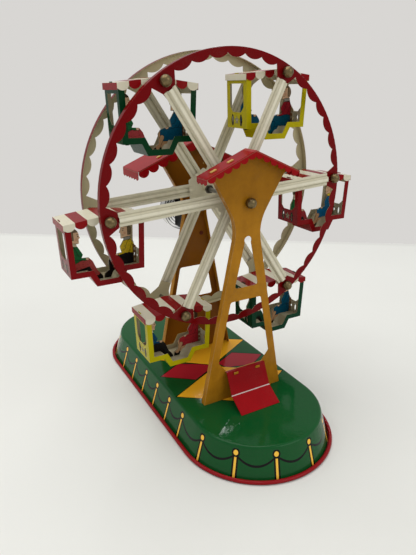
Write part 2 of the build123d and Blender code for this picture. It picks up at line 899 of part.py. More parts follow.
def mainspring():
    """Flat spiral of half-turn arcs from the arbor out to a hook round its post."""
    halves = 2 * spring_turns - 1
    half_thick = spring_thickness / 2
    inner = arbor_radius + apart + half_thick
    step = (spring_outer - inner) / (halves - 1)
    hook = spring_post + hook_clear + half_thick
    hook_x = spring_outer + hook
    angle = radians(spring_hook_angle)
    plane = Plane(
        origin=(0, place(spring_y + spring_width), arbor_z),
        x_dir=(cos(angle), 0, sin(angle)),
        z_dir=(0, -1, 0),
    )
    tail_x, tail_y = polar(1, 180 - hook_turn)
    with BuildPart() as part:
        with BuildSketch(plane):
            with BuildLine() as edges:
                for edge in (-half_thick, half_thick):
                    for half in range(halves):
                        odd = half % 2
                        radius = inner + half * step + edge
                        CenterArc((-step * odd, 0), radius, 180 - 180 * odd, 180)
                    CenterArc((hook_x, 0), hook - edge, 180, -hook_turn)
                Line((-inner - half_thick, 0), (-inner + half_thick, 0))
                ends = [hook - half_thick, hook + half_thick]
                Line(*[(hook_x + radius * tail_x, radius * tail_y) for radius in ends])
            make_face()
        extrude(amount=spring_width)
    print("mainspring: least gap to itself", round(spring_gap(inner, step, halves), 3), "mm")
    return part


def spring_gap(inner, step, halves):
    """Least gap between two neighbouring turns, measured on points along the ribbon's middle."""
    points = []
    for half in range(halves):
        odd = half % 2
        for degree in range(0, 180, 5):
            x, y = polar(inner + half * step, 180 - 180 * odd + degree)
            points.append(Vector(x - step * odd, y))
    turn = 2 * 180 // 5
    near = turn // 2
    distances = [
        (a - b).length
        for place_a, a in enumerate(points)
        for b in points[place_a + near : place_a + 2 * turn]
    ]
    return min(distances) - spring_thickness


# ------------------------------------------------------------------ gear train


def gear_face(teeth, module, backlash, first_tooth):
    """Toothed face in the open sketch."""
    Polygon(gear_outline(teeth, module, backlash, first_tooth))


def axle_gear():
    """Gear on the wheel's axle, with a boss behind it."""
    with BuildPart() as part:
        with BuildSketch(upright(gear_y + gear_width, 0, axle_z)):
            gear_face(axle_teeth, drive_module, drive_backlash, -90)
            Circle(axle_radius, mode=Mode.SUBTRACT)
        extrude(amount=gear_width)
        with BuildSketch(upright(gear_y, 0, axle_z)):
            Circle(gear_boss)
            Circle(axle_radius, mode=Mode.SUBTRACT)
        extrude(amount=gear_y - tower_reach - apart)
    return part


def click_nose_angle():
    return click_place - click_turn


def great_wheel():
    """Gear that the mainspring drives through the click, free on the winding arbor."""
    start = gear_y + (gear_width - great_width) / 2
    with BuildPart() as part:
        with BuildSketch(upright(start + great_width, 0, arbor_z)):
            gear_face(great_teeth, drive_module, drive_backlash, 90 + 180 / great_teeth)
            Circle(arbor_radius + running, mode=Mode.SUBTRACT)
        extrude(amount=great_width)
        x, z = polar(click_pivot, click_place)
        with BuildSketch(upright(start + great_width, x, arbor_z + z)):
            Circle(click_pin)
        extrude(amount=-ratchet_width - 2 * apart)
    return part


def ratchet_y():
    return gear_y + (gear_width + great_width) / 2 + apart / 2


def ratchet_wheel():
    """Saw-toothed wheel on the winding arbor."""
    points = []
    for tooth in range(ratchet_teeth):
        angle = click_nose_angle() + tooth * 360 / ratchet_teeth
        points.append(polar(ratchet_outer, angle))
        points.append(polar(ratchet_root, angle + 0.6))
    with BuildPart() as part:
        with BuildSketch(upright(ratchet_y() + ratchet_width, 0, arbor_z)):
            Polygon(points)
            Circle(arbor_radius, mode=Mode.SUBTRACT)
        extrude(amount=ratchet_width)
    return part


def click():
    """Pawl that lets the arbor be wound and then drives the great wheel."""
    nose = click_nose_angle()
    x, z = polar(click_pivot, click_place)
    across = Vector(*polar(click_boss, nose + 2))
    shape = [polar(ratchet_root + 0.15, nose + 1.5), polar(ratchet_root + 0.75, nose + 15)]
    shape.append(polar(ratchet_outer + 0.25, nose + 360 / ratchet_teeth))
    shape += [(x - across.X, z - across.Y), (x + across.X, z + across.Y)]
    shape.append(polar(ratchet_outer + 0.5, nose + 1.5))
    with BuildPart() as part:
        with BuildSketch(upright(ratchet_y() + ratchet_width, 0, arbor_z)):
            Polygon(shape)
            with Locations((x, z)):
                Circle(click_boss)
                Circle(click_pin + running, mode=Mode.SUBTRACT)
        extrude(amount=ratchet_width)
    return part


def governor_wheel():
    """Pinion and gear on one small arbor, above the axle."""
    arbor = rods((0, governor_z, small_arbor, tower_reach - plate, back_plate_y + plate))
    with BuildPart() as part:
        add(arbor.part)
        with BuildSketch(upright(gear_y + gear_width, 0, governor_z)):
            first = -90 + 180 / pinion_teeth
            gear_face(pinion_teeth, drive_module, drive_backlash, first)
        extrude(amount=gear_width)
        with BuildSketch(upright(governor_y + governor_width, 0, governor_z)):
            gear_face(governor_teeth, fan_module, fan_backlash, 0)
        extrude(amount=governor_width)
    return part


def governor_fan():
    """Two-bladed air brake with its pinion, that keeps the wheel's speed steady."""
    start = governor_y + governor_width + apart
    arbor = rods((fan_x, governor_z, small_arbor, tower_reach - plate, back_plate_y + plate))
    with BuildPart() as part:
        add(arbor.part)
        with BuildSketch(upright(governor_y + governor_width, fan_x, governor_z)):
            gear_face(pinion_teeth, fan_module, fan_backlash, 180 + 180 / pinion_teeth)
        extrude(amount=governor_width)
        with BuildSketch(upright(start + fan_length, fan_x, governor_z)):
            Rectangle(fan_blade, 2 * fan_radius)
        extrude(amount=fan_length)
    return part


def winding_arbor():
    """Arbor of the mainspring, squared at its rear end for the crank."""
    wheel_front = gear_y + (gear_width - great_width) / 2
    square_end = crank_y + crank_thickness + running
    barrel = rods(
        (0, arbor_z, arbor_radius, tower_reach - plate, crank_y),
        (0, arbor_z, arbor_shoulder, tower_reach + apart, wheel_front - running),
        (0, arbor_z, crank_square / 2, crank_y, square_end + crank_nut_height),
    )
    with BuildPart() as part:
        add(barrel.part)
        with BuildSketch(upright(square_end, 0, arbor_z)):
            Rectangle(crank_square, crank_square, rotation=crank_angle)
        extrude(amount=square_end - crank_y)
    return part


def crank_tip_place():
    x, z = polar(crank_throw, crank_angle)
    return x, arbor_z + z


def crank_arm():
    """Flat crank arm with a square eye."""
    x, z = crank_tip_place()
    with BuildPart() as part:
        with BuildSketch(upright(crank_y + crank_thickness)):
            with Locations((0, arbor_z)):
                Circle(crank_eye)
            with Locations((x, z)):
                Circle(crank_tip)
            make_hull()
            with Locations((0, arbor_z)):
                size = crank_square + 2 * running
                Rectangle(size, size, rotation=crank_angle, mode=Mode.SUBTRACT)
            with Locations((x, z)):
                Circle(knob_pin_radius, mode=Mode.SUBTRACT)
        extrude(amount=crank_thickness)
    return part


def crank_nut():
    start = crank_y + crank_thickness + running
    with BuildPart() as part:
        with BuildSketch(upright(start + crank_nut_height, 0, arbor_z)):
            RegularPolygon(nut_flats / 2, 6, major_radius=False)
            Circle(crank_square / 2, mode=Mode.SUBTRACT)
        extrude(amount=crank_nut_height)
    return part


def crank_knob():
    """Turned knob, free on its pin."""
    x, z = crank_tip_place()
    bore = knob_pin_radius + running
    with BuildPart() as part:
        with BuildSketch(Plane(origin=(x, place(crank_y + crank_thickness + apart), z))):
            with BuildLine():
                swell = (knob_radius, knob_length * 0.68)
                Polyline((knob_end, knob_length), (bore, knob_length), (bore, 0), (knob_waist, 0))
                Spline((knob_waist, 0), (knob_neck, knob_length * 0.28), swell)
                ThreePointArc(swell, (knob_radius * 0.9, knob_length * 0.88), (knob_end, knob_length))
            make_face()
        revolve(axis=Axis((x, 0, z), (0, 1, 0)))
    return part


def knob_pin():
    place_xz = crank_tip_place()
    end = crank_y + crank_thickness + apart + knob_length + apart
    return rods(
        (*place_xz, knob_pin_radius, crank_y, end),
        (*place_xz, knob_pin_head, end, end + knob_pin_head_height),
    )


# ------------------------------------------------------------------ build

axle_hole = (0, axle_z, axle_radius + running)
motor_holes = [(0, arbor_z, arbor_radius + running)]
motor_holes += [(x, governor_z, small_arbor + running) for x in (0, fan_x)]
motor_holes += [(x, pillar_z, pillar_end) for x in (-pillar_x, pillar_x)]
motor_holes += [(x, motor_rivet_z, rivet_radius) for x in (-motor_rivet_x, motor_rivet_x)]

save(base_rim(), "base_rim")
save(base_pan(), "base_pan")
save(tower(front, front_windows(), [axle_hole], ramp_hooks()), "front_tower")
save(tower(rear, rear_window(), [axle_hole] + motor_holes, []), "rear_tower")
save(roof(front, *front_roof_size, front_fringe, front_teeth), "front_roof")
save(roof(rear, *rear_roof_size, rear_fringe, rear_teeth), "rear_roof")
save(entrance_ramp(), "entrance_ramp")
save(motor_frame(), "motor_frame")
save(motor_posts(), "motor_posts")
save(motor_rivets(), "motor_rivets")
save(mainspring(), "mainspring")
save(ring(front), "front_ring")
save(ring(rear), "rear_ring")
save(spider(front), "front_spider")
save(spider(rear), "rear_spider")
save(axle(), "axle")
save(axle_cap(), "axle_cap")
save(hub_nuts(), "hub_nuts")
save(axle_gear(), "axle_gear")
save(great_wheel(), "great_wheel")
save(ratchet_wheel(), "ratchet_wheel")
save(click(), "click")
save(governor_wheel(), "governor_wheel")
save(governor_fan(), "governor_fan")
save(winding_arbor(), "winding_arbor")
save(crank_arm(), "crank_arm")
save(crank_nut(), "crank_nut")
save(crank_knob(), "crank_knob")
save(knob_pin(), "knob_pin")
for number in range(1, cars + 1):
    save(hanger_rod(number), f"hanger_rod_{number}")
    save(rod_caps(number), f"rod_caps_{number}")
    save(car(number), f"car_{number}")
    save(awning(number), f"awning_{number}")
    save(passengers(number), f"passengers_{number}")
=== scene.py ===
from math import cos, hypot, pi, radians, sin

import bpy
from mathutils import Matrix, Vector

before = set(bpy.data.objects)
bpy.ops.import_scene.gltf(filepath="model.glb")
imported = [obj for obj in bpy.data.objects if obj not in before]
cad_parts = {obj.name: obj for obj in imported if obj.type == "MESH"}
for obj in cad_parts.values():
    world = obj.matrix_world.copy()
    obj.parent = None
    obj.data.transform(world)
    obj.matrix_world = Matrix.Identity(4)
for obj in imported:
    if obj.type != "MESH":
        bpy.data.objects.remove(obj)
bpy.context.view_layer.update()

# ---------------------------------------------------------------- the camera
# It stands half a metre off to the left of the entrance, at the height of the wheel's upper half,
# and looks down on the toy.

camera_place = (-0.2385, -0.4255, 0.3159)
camera_turn = radians(29.36)  # to the right of straight ahead
camera_fall = radians(20.87)  # below the level
camera_roll = radians(0.13)
image_height = 555  # in pixels, as the focal length is
focal_length = 492.75
sensor = 36

camera = bpy.data.objects.new("camera", bpy.data.cameras.new("camera"))
bpy.context.scene.collection.objects.link(camera)
bpy.context.scene.camera = camera
aim = Matrix.Rotation(-camera_turn, 4, "Z") @ Matrix.Rotation(pi / 2 - camera_fall, 4, "X")
camera.matrix_world = Matrix.Translation(camera_place) @ aim @ Matrix.Rotation(camera_roll, 4, "Z")
camera.data.sensor_fit = "VERTICAL"
camera.data.sensor_height = sensor
camera.data.lens = focal_length / image_height * sensor
camera.data.clip_start = 0.01
camera.data.clip_end = 50

# ---------------------------------------------------------------- the table, the wall and the light
# A plain white table against a plain white wall, under a broad soft lamp from above, with a weaker
# one in front. A small lamp behind the toy makes the window's glint on the base.

bpy.context.scene.view_settings.view_transform = "Standard"


def paint(code):
    """A colour written as six hex digits, as linear red, green, blue and alpha."""
    parts = [int(code[i : i + 2], 16) / 255 for i in (0, 2, 4)]
    linear = [p / 12.92 if p <= 0.04045 else ((p + 0.055) / 1.055) ** 2.4 for p in parts]
    return (*linear, 1.0)


class Wire:
    """One output in a material's nodes. Arithmetic on it adds Math nodes; node adds any other."""

    def __init__(self, tree, socket=None):
        self.tree, self.socket = tree, socket

    def node(self, kind, settings, inputs):
        """Adds a node of that kind, sets its settings first, then its sockets' values or links."""
        made = self.tree.nodes.new("ShaderNode" + kind)
        for key, value in settings.items():
            setattr(made, key, value)
        for key, value in inputs.items():
            if isinstance(value, Wire):
                self.tree.links.new(value.socket, made.inputs[key])
            else:
                made.inputs[key].default_value = value
        return Wire(self.tree, made.outputs[0] if made.outputs else None)

    def of(self, output):
        """Another output of the node that this one comes from."""
        return Wire(self.tree, self.socket.node.outputs[output])

    def math(self, operation, *others, clamp=False):
        """A Math node's result on this value and the others."""
        values = dict(enumerate((self, *others)))
        return self.node("Math", {"operation": operation, "use_clamp": clamp}, values)

    def __add__(self, other):
        return self.math("ADD", other)

    def __sub__(self, other):
        return self.math("SUBTRACT", other)

    def __rsub__(self, other):
        return self.node("Math", {"operation": "SUBTRACT"}, {0: other, 1: self})

    def __mul__(self, other):
        return self.math("MULTIPLY", other)

    def __truediv__(self, other):
        return self.math("DIVIDE", other)

    def __abs__(self):
        return self.math("ABSOLUTE")

    def __or__(self, other):
        return self.math("MAXIMUM", other)

    def __and__(self, other):
        return self.math("MINIMUM", other)

    __radd__, __rmul__, __ror__, __rand__ = __add__, __mul__, __or__, __and__

    def square(self):
        return self.math("POWER", 2.0)

    def blend(self, low, high):
        """The colour low where this mask is 0 and high where it is 1."""
        mixed = self.node("Mix", {"data_type": "RGBA"}, {0: self, 6: low, 7: high})
        return mixed.of(2)

    def pick(self, low, high):
        """The number low where this mask is 0 and high where it is 1."""
        return self.node("Mix", {"data_type": "FLOAT"}, {0: self, 2: low, 3: high})


def within(distance, edge=0.12):
    """1 where a distance in millimetres is positive, 0 where it is negative, with a soft edge."""
    return (distance / edge + 0.5).math("ADD", 0.0, clamp=True)


def noise(place, scale, detail=2.0, roughness=0.5):
    """Cloudy noise of about 0 to 1, with scale in clouds per millimetre."""
    inputs = {"Vector": place, "Scale": scale, "Detail": detail, "Roughness": roughness}
    return place.node("TexNoise", {}, inputs)


def stretched(place, scale):
    """The place with its axes scaled, which draws noise out along those under 1."""
    return place.node("Mapping", {}, {"Vector": place, "Scale": scale})


def material(name):
    """A new material, with each point's place in millimetres as a vector and as x, y and z."""
    made = bpy.data.materials.new(name)
    made.use_nodes = True
    made.node_tree.nodes.clear()
    at = Wire(made.node_tree).node("TexCoord", {}, {}).of("Object")
    place = at.node("VectorMath", {"operation": "SCALE"}, {0: at, "Scale": 1000.0})
    split = place.node("SeparateXYZ", {}, {0: place})
    return made, place, split.of("X"), split.of("Y"), split.of("Z")


def finish(made, colour, height, depth, strength=0.4, **sockets):
    """Closes a material with one shader: height is a field of 0 to 1, depth its size in metres."""
    wire = Wire(made.node_tree)
    relief = {"Height": height, "Distance": depth, "Strength": strength}
    inputs = {key.replace("_", " "): value for key, value in sockets.items()}
    inputs |= {"Base Color": colour, "Normal": wire.node("Bump", {}, relief)}
    shader = wire.node("BsdfPrincipled", {}, inputs)
    wire.node("OutputMaterial", {}, {"Surface": shader})
    return made


def lamp(name, place, target, width, height, power, colour):
    """A rectangular lamp at one place that shines towards another."""
    light = bpy.data.lights.new(name, "AREA")
    light.shape = "RECTANGLE"
    light.size, light.size_y, light.energy, light.color = width, height, power, colour
    piece = bpy.data.objects.new(name, light)
    bpy.context.scene.collection.objects.link(piece)
    turn = (Vector(target) - Vector(place)).to_track_quat("-Z", "Y").to_matrix().to_4x4()
    piece.matrix_world = Matrix.Translation(place) @ turn


lamp("ceiling_lamp", (-0.3, 0.3, 1.8), (0, 0, 0.1), 1.8, 1.8, 20, (1.0, 0.99, 0.97))
lamp("front_lamp", (0.7, -1.5, 1.2), (0, 0, 0.15), 1.2, 1.2, 6, (1.0, 0.99, 0.98))
lamp("window_lamp", (0.725, 1.22, 1.175), (-0.046, -0.095, 0.03), 0.1, 0.24, 1.0, (0.97, 0.98, 1.0))

wall_paint = paint("D8D6D3")
wall_far = 588.0  # from the toy's middle to the wall
corner_far = 580.0  # to the soft shade in the corner in front of it
wall_skew = 0.084  # the wall is not quite square to the camera
table_half = 9  # in metres

table = bpy.data.objects.new("table", bpy.data.meshes.new("table"))
corners = [(table_half * i, table_half * j, 0) for i, j in ((-1, -1), (1, -1), (1, 1), (-1, 1))]
table.data.from_pydata(corners, [], [(0, 1, 2, 3)])
bpy.context.scene.collection.objects.link(table)
made, place, x, y, _ = material("white_table")
away = x * sin(camera_turn) + y * cos(camera_turn)
aside = x * cos(camera_turn) - y * sin(camera_turn)
distance = away + aside * wall_skew
wall = within(distance - wall_far, 6.0)
tone = noise(place, 0.004).blend(paint("EAEBE6"), paint("E3E3DE"))
tone = (within(7.0 - abs(distance - corner_far), 14.0) * 0.35).blend(tone, paint("C9C8C5"))
relief = {"Height": noise(place, 0.6, 3.0), "Distance": 0.0002, "Strength": 0.5}
grain = place.node("Bump", {}, relief)
table_sockets = {"Base Color": tone, "Roughness": 0.6, "Specular IOR Level": 0.2, "Normal": grain}
top = place.node("BsdfPrincipled", {}, table_sockets)
ray = place.node("LightPath", {}, {})
plaster = place.node("Emission", {}, {"Color": wall_paint})
both = place.node("MixShader", {}, {0: wall * ray.of("Is Camera Ray"), 1: top, 2: plaster})
place.node("OutputMaterial", {}, {"Surface": both})
table.data.materials.append(made)

world = bpy.data.worlds.new("room")
bpy.context.scene.world = world
world.use_nodes = True
world.node_tree.nodes.clear()
ray = Wire(world.node_tree).node("LightPath", {}, {})
light = ray.node("Background", {}, {"Color": paint("FFFFFF"), "Strength": 0.56})
back = ray.node("Background", {}, {"Color": wall_paint, "Strength": 1.0})
both = ray.node("MixShader", {}, {0: ray.of("Is Camera Ray"), 1: light, 2: back})
ray.node("OutputWorld", {}, {"Surface": both})

# ---------------------------------------------------------------- the rolled rim
# A tinplate strip rolled into a bead round the base's foot and sprayed red. Its enamel is glossy,
# dull with dust in the folds, and chipped to the tin where the toy has been slid about.


def enamel(name, pattern, chips=1.0, gloss=0.14, dust=0.3, polish=0.06):
    """Stoved enamel: pattern gives its colour, and noise adds ripple, dust and chips to the tin."""
    made, place, x, y, z = material(name)
    broad = noise(place, 0.03, 3.0)
    fine = noise(place, 1.1, 4.0, 0.65)
    speck = noise(place, 0.55, 5.0, 0.75)
    film = ((broad + fine - 1.08) * dust).math("ADD", 0.0, clamp=True)
    colour = film.blend(pattern(place, x, y, z), paint("7A7264"))
    chip = within(speck - (0.80 - 0.025 * chips), 0.02)
    colour = (chip * min(1.0, chips)).blend(colour, paint("8B857A"))
    ripple = noise(place, 0.25, 2.0) * 0.8 + fine * 0.06 - chip * 0.15
    roughness = gloss + broad * 0.06 + fine * 0.06 + chip * 0.25
    return finish(made, colour, ripple, depth=0.0004, strength=0.35, Roughness=roughness,
                  Metallic=chip * 0.5, Specular_IOR_Level=polish, Coat_Weight=polish,
                  Coat_Roughness=0.03)


def dress(made, *names):
    """Gives a material to CAD nodes."""
    for name in names:
        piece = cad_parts[name]
        piece.data.materials.clear()
        piece.data.materials.append(made)


def rim_colour(place, x, y, z):
    """Red, darker along the foot where the bead meets the table."""
    return within(1.2 - z, 1.5).blend(paint("8E0F17"), paint("5E0C10"))


dress(enamel("rim_enamel", rim_colour, chips=1.5, polish=0.1), "base_rim")

# ---------------------------------------------------------------- the base pan
# One pan pressed from tinplate and printed before pressing: a deep green ground, a four-pointed
# star under the wheel, and a fence of posts and a sagging rope round the skirt. Inside it is
# plain tin under a thin gold lacquer.

wheel_y = -21.5
foot_radius = 72.75  # of the skirt's round ends, at the foot
end_centre = 93.75  # from the middle to the centre of a round end
skirt_foot = 0.7
base_top = 30.3
base_round = 3.0
lean = radians(16.6)
skin = 0.25  # half the tinplate: what lies deeper is the inside
star_foot = 27.6  # the star is printed above it, and the fence below fence_top
star_line = 0.7
fence_top = 27.0
fence_shift = 2.2
front_span = 39.0  # between two posts of the fence
side_start, side_span = 136.5, 29.6
rear_start, rear_span = 284.5, 36.3
rope_z, rope_sag, rope_half = 21.8, 33.0, 1.05
post_half, post_top = 1.1, 19.5
knob_z, knob_radius = 23.4, 2.3
fence_line = 1.7
scuff_place, scuff_area = (-62, 118), 5000
star_yellow = (
    ((-61.5, -26.3), (1.5, -72.0), (60.3, -37.8), (1.0, 5.0)),
    ((62.2, 41.9), (-0.7, 84.0), (-59.0, 56.0), (0.5, 8.5)),
)
star_red = (
    ((61.0, 2.1), (33.0, 22.0), (6.0, 9.0), (11.0, -3.0), (39.5, -11.4)),
    ((-60.2, 14.9), (-30.3, -8.4), (0.0, 6.0), (-8.3, 15.2), (-32.2, 29.7)),
)


def inside(u, v, corners):
    """Distance from a convex outline's edge, positive inside it; its corners run anticlockwise."""
    nearest = None
    for (ax, ay), (bx, by) in zip(corners, corners[1:] + corners[:1]):
        dx, dy = bx - ax, by - ay
        run = hypot(dx, dy)
        gap = v * (dx / run) - u * (dy / run) + (dy * ax - dx * ay) / run
        nearest = gap if nearest is None else nearest & gap
    return nearest


def skin_depth(x, y, z):
    """How far a point lies under the pan's rounded outer surface."""
    out = (x * x + ((abs(y) - end_centre) | 0.0).square()).math("SQRT")
    skirt = (foot_radius - out) * cos(lean) - (z - skirt_foot) * sin(lean)
    a, b = base_round - (base_top - z), base_round - skirt
    c, s = cos(pi / 2 - lean), sin(pi / 2 - lean)
    first = (a * a + ((b - a * c) | 0.0).square() / s**2).math("SQRT")
    second = (b * b + ((a - b * c) | 0.0).square() / s**2).math("SQRT")
    return base_round - (first & second)


def star_print(colour, x, y, z, ink):
    """Two yellow and two red fields with a black line round them, on the flat top."""
    on_top = within(z - star_foot, 0.3)
    red, yellow = paint("A81F2C"), paint("F4B226")
    fields = [(field, red) for field in star_red] + [(field, yellow) for field in star_yellow]
    for corners, fill in fields:
        edge = inside(x, y - wheel_y, corners)
        colour = (within(edge + star_line) * on_top).blend(colour, ink)
        colour = (within(edge - 0.2) * on_top).blend(colour, fill)
    return colour


def fence_print(colour, x, y, z, ink):
    """Posts and a sagging rope, spaced along the skirt from the middle of the front."""
    ahead, behind = (y * -1 - end_centre) | 0.0, (y - end_centre) | 0.0
    along = abs(x).math("ARCTAN2", ahead) * foot_radius
    along = along + ((y + end_centre) | 0.0).math("MINIMUM", 2 * end_centre)
    along = along + (pi / 2 - abs(x).math("ARCTAN2", behind)) * foot_radius
    along = abs(x.math("SIGN") * along + fence_shift)
    at_side = along.math("GREATER_THAN", side_start)
    at_rear = along.math("GREATER_THAN", rear_start)
    near = at_side.pick((along + front_span / 2) / front_span, (along - side_start) / side_span)
    swing = at_rear.pick(near, (along - rear_start) / rear_span).math("FRACT")
    width = at_rear.pick(at_side.pick(front_span, side_span), rear_span)
    away = (0.5 - abs(swing - 0.5)) * width
    skirt = within(fence_top - z, 0.3)
    rope = rope_half - abs(z - rope_z + swing * (1.0 - swing) * rope_sag)
    post = (post_half - away) & (post_top - z)
    knob = knob_radius - (away * away + (z - knob_z).square()).math("SQRT")
    colour = (skirt * within(rope)).blend(colour, ink)
    colour = (skirt * within((post | knob) + fence_line)).blend(colour, ink)
    colour = (skirt * within(post | knob)).blend(colour, paint("FFC84A"))
    return skirt, colour


def base_print(place, x, y, z):
    ink = paint("050606")
    colour = noise(place, 0.012).blend(paint("0B491F"), paint("125628"))
    colour = star_print(colour, x, y, z, ink)
    skirt, colour = fence_print(colour, x, y, z, ink)
    far = ((x - scuff_place[0]).square() + (y - scuff_place[1]).square()) / scuff_area
    scuff = within(noise(place, 0.12, 4.0, 0.7) - 0.5 - far, 0.06)
    colour = (scuff * skirt * 0.35).blend(colour, paint("9C9880"))
    return within(skin_depth(x, y, z) - skin).blend(colour, paint("8D7A4C"))


dress(enamel("base_enamel", base_print, chips=0.7, gloss=0.03, dust=0.1, polish=0.12), "base_pan")

# ---------------------------------------------------------------- the entrance ramp
# A strip of tinplate hooked to the front tower and creased at its foot. The pale line on the crease
# is a painted highlight where the bend catches the light, on enamel that is also worn there, and
# the upper panel is darkened with painted shade.

crease_z = 41.6
hook_z = 61.2
hook_y = -75.2
painted_shade_z = 46.0  # above it the red is darkened with painted shade


def ramp_colour(place, x, y, z):
    # A pale line on the crease: a painted highlight where the bend catches the light, with the
    # enamel also worn there.
    worn = within(0.1 - abs(z - crease_z) + noise(place, 0.9, 3.0) * 0.5, 0.2)
    hook = within(z - hook_z, 0.3) * within(y - hook_y, 0.2)
    colour = noise(place, 0.05).blend(paint("A30D15"), paint("8F0B12"))
    # Painted shade: the upper panel faces away from the light, so its red is painted darker.
    colour = (within(z - painted_shade_z, 14.0) * 0.55).blend(colour, paint("74060B"))
    colour = (hook * 0.8).blend(colour, paint("B8934E"))
    return (worn * 0.85).blend(colour, paint("D9CFCB"))


dress(enamel("ramp_enamel", ramp_colour, chips=1.2), "entrance_ramp")

# ---------------------------------------------------------------- the towers
# Two towers blanked from heavier plate, flanged down both sides for stiffness, stoved in ochre
# and tabbed through the pan and the roof. The side that faces the wheel is browner. The pale
# line along the folds is a painted highlight on enamel that is also rubbed there, and the heads
# under the roofs are darkened with painted shade.

tower_face = 52.8  # from the wheel's middle to a tower's outer face
tower_plate = 0.7
roof_shade_z = 214.0  # above it the ochre is darkened with painted shade from the roof
ridge_z = 269.5
roof_fall = 0.43  # drop for each millimetre outward
foot_z = 29.6


def tower_colour(place, x, y, z):
    reach = abs(y - wheel_y)
    streak = noise(stretched(place, (1.0, 1.0, 0.12)), 0.16, 4.0)
    colour = streak.blend(paint("B67E1E"), paint("A26C15"))
    # Painted shade: the head under the roof is painted darker.
    colour = (within(z - roof_shade_z, 36.0) * 0.6).blend(colour, paint("88590A"))
    # A pale line along the folds: a painted highlight on the rounded fold, where the enamel is also
    # rubbed.
    fold = within(tower_face - 0.1 - reach, 0.1) * within(reach - (tower_face - 1.0), 0.3)
    colour = (fold * 0.35).blend(colour, paint("DDB070"))
    # The face toward the wheel, and a thin line along the flanges' sides, are a darker brown.
    inner = within(0.08 - abs(reach - (tower_face - tower_plate)), 0.02)
    colour = inner.blend(colour, paint("84500F"))
    grime = within(noise(place, 0.06, 4.0, 0.7) - 0.56, 0.25)
    colour = (grime * 0.3).blend(colour, paint("6B4410"))
    tab = within(z + abs(x) * roof_fall - ridge_z, 0.1) | within(foot_z - z, 0.2)
    return tab.blend(colour, paint("CDA35A"))


tower_enamel = enamel("tower_enamel", tower_colour, chips=0.9, gloss=0.2)
dress(tower_enamel, "front_tower", "rear_tower")

# ---------------------------------------------------------------- the roofs
# Each roof is one folded strip of red tinplate with scalloped gables and a toothed fringe, held
# by the towers' tabs, which are bent over on top. The ridge is rubbed, and a thin line of dust
# runs under the folded edge.

dust_low, dust_high = -1.1, -0.75  # from the fold's outer line


def roof_colour(place, x, y, z):
    above = z + abs(x) * roof_fall - ridge_z
    colour = noise(place, 0.04, 3.0).blend(paint("9C0A12"), paint("8A070E"))
    worn = within(1.0 - abs(above) - abs(x) * 0.45 + noise(place, 0.8, 3.0) * 0.6, 0.4)
    colour = (worn * 0.25).blend(colour, paint("C77A78"))
    dusty = within(dust_high - above, 0.1) * within(above - dust_low, 0.1)
    return (dusty * 0.6).blend(colour, paint("8C7A62"))


dress(enamel("roof_enamel", roof_colour), "front_roof", "rear_roof")

# ---------------------------------------------------------------- the clockwork's frame
# A bent frame of black plate riveted to the rear tower, with two turned steel pillars and a post
# that holds the mainspring.


def black_colour(place, x, y, z):
    colour = noise(place, 0.3, 4.0).blend(paint("17171A"), paint("262628"))
    rust = within(noise(place, 0.22, 5.0, 0.7) - 0.63, 0.08)
    return (rust * 0.5).blend(colour, paint("4A3426"))


dress(enamel("motor_enamel", black_colour, chips=1.6, gloss=0.32, dust=0.4), "motor_frame")


def rivet_colour(place, x, y, z):
    return noise(place, 0.8, 3.0).blend(paint("4A1C10"), paint("6E3320"))


dress(enamel("rivet_enamel", rivet_colour, chips=0.6, gloss=0.2), "motor_rivets")


def metal(name, light, dark, roughness, grain, scale=(1.0, 1.0, 1.0)):
    """Worn bare metal: grain stretched along one axis, a cloudy tarnish, and dark spots."""
    made, place, *_ = material(name)
    drawn = noise(stretched(place, scale), grain, 4.0, 0.6)
    cloud = noise(place, 0.35, 4.0, 0.6)
    pit = within(noise(place, 1.3, 4.0, 0.7) - 0.64, 0.1)
    colour = (pit * 0.4).blend(cloud.blend(paint(dark), paint(light)), paint("5B4A38"))
    return finish(made, colour, drawn - pit * 0.4, depth=0.00008, Metallic=1.0 - pit * 0.6,
                  Roughness=cloud * 0.18 + drawn * 0.12 + roughness + pit * 0.2)


steel = metal("turned_steel", "A7A6A2", "7E7C77", roughness=0.22, grain=1.6, scale=(1.0, 0.15, 1.0))
dress(steel, "motor_posts", "axle", "crank_nut", "knob_pin")
dress(steel, "winding_arbor", "ratchet_wheel", "click")
dress(metal("plated_crank", "B3B2AE", "86847F", roughness=0.2, grain=1.2), "crank_arm")

# ---------------------------------------------------------------- the mainspring
# A long ribbon of spring steel, coiled round the winding arbor and hooked round a post of the
# frame. Its faces are bright, and both edges are blued nearly black.

spring_middle = 77.5  # behind the wheel's middle
spring_bright = 4.3  # half width of the bright band

made, place, _, y, _ = material("blued_spring")
streak = noise(stretched(place, (1.0, 0.1, 1.0)), 1.4, 4.0)
edge = within(abs(y - wheel_y - spring_middle) - spring_bright, 0.3)
ribbon = noise(place, 0.12, 3.0).blend(paint("C4C5C6"), paint("D6D2CA"))
ribbon = edge.blend(ribbon, paint("1A1918"))
finish(made, ribbon, streak, depth=0.00006, Metallic=0.95, Roughness=streak * 0.15 + 0.14)
dress(made, "mainspring")

# ---------------------------------------------------------------- the train
# Brass gears stamped from sheet, on steel arbors, tarnished brown between the teeth. The great
# wheel drives the axle's gear, and that drives the governor, whose fan steadies the speed.

made, place, *_ = material("gear_brass")
shade = noise(place, 0.5, 4.0, 0.6)
brassy = shade.blend(paint("8A6A2E"), paint("C49B4C"))
brassy = within(noise(place, 1.5, 3.0, 0.7) - 0.6, 0.1).blend(brassy, paint("5E4420"))
turned = noise(place, 2.2, 4.0)
finish(made, brassy, turned, depth=0.00006, Metallic=0.95, Roughness=shade * 0.25 + 0.2)
dress(made, "axle_gear", "great_wheel", "governor_wheel", "governor_fan")

# ---------------------------------------------------------------- the crank's knob
# A turned beech knob, free on a steel pin at the crank's end. It was dipped in red and is rubbed
# to the wood on its crown.

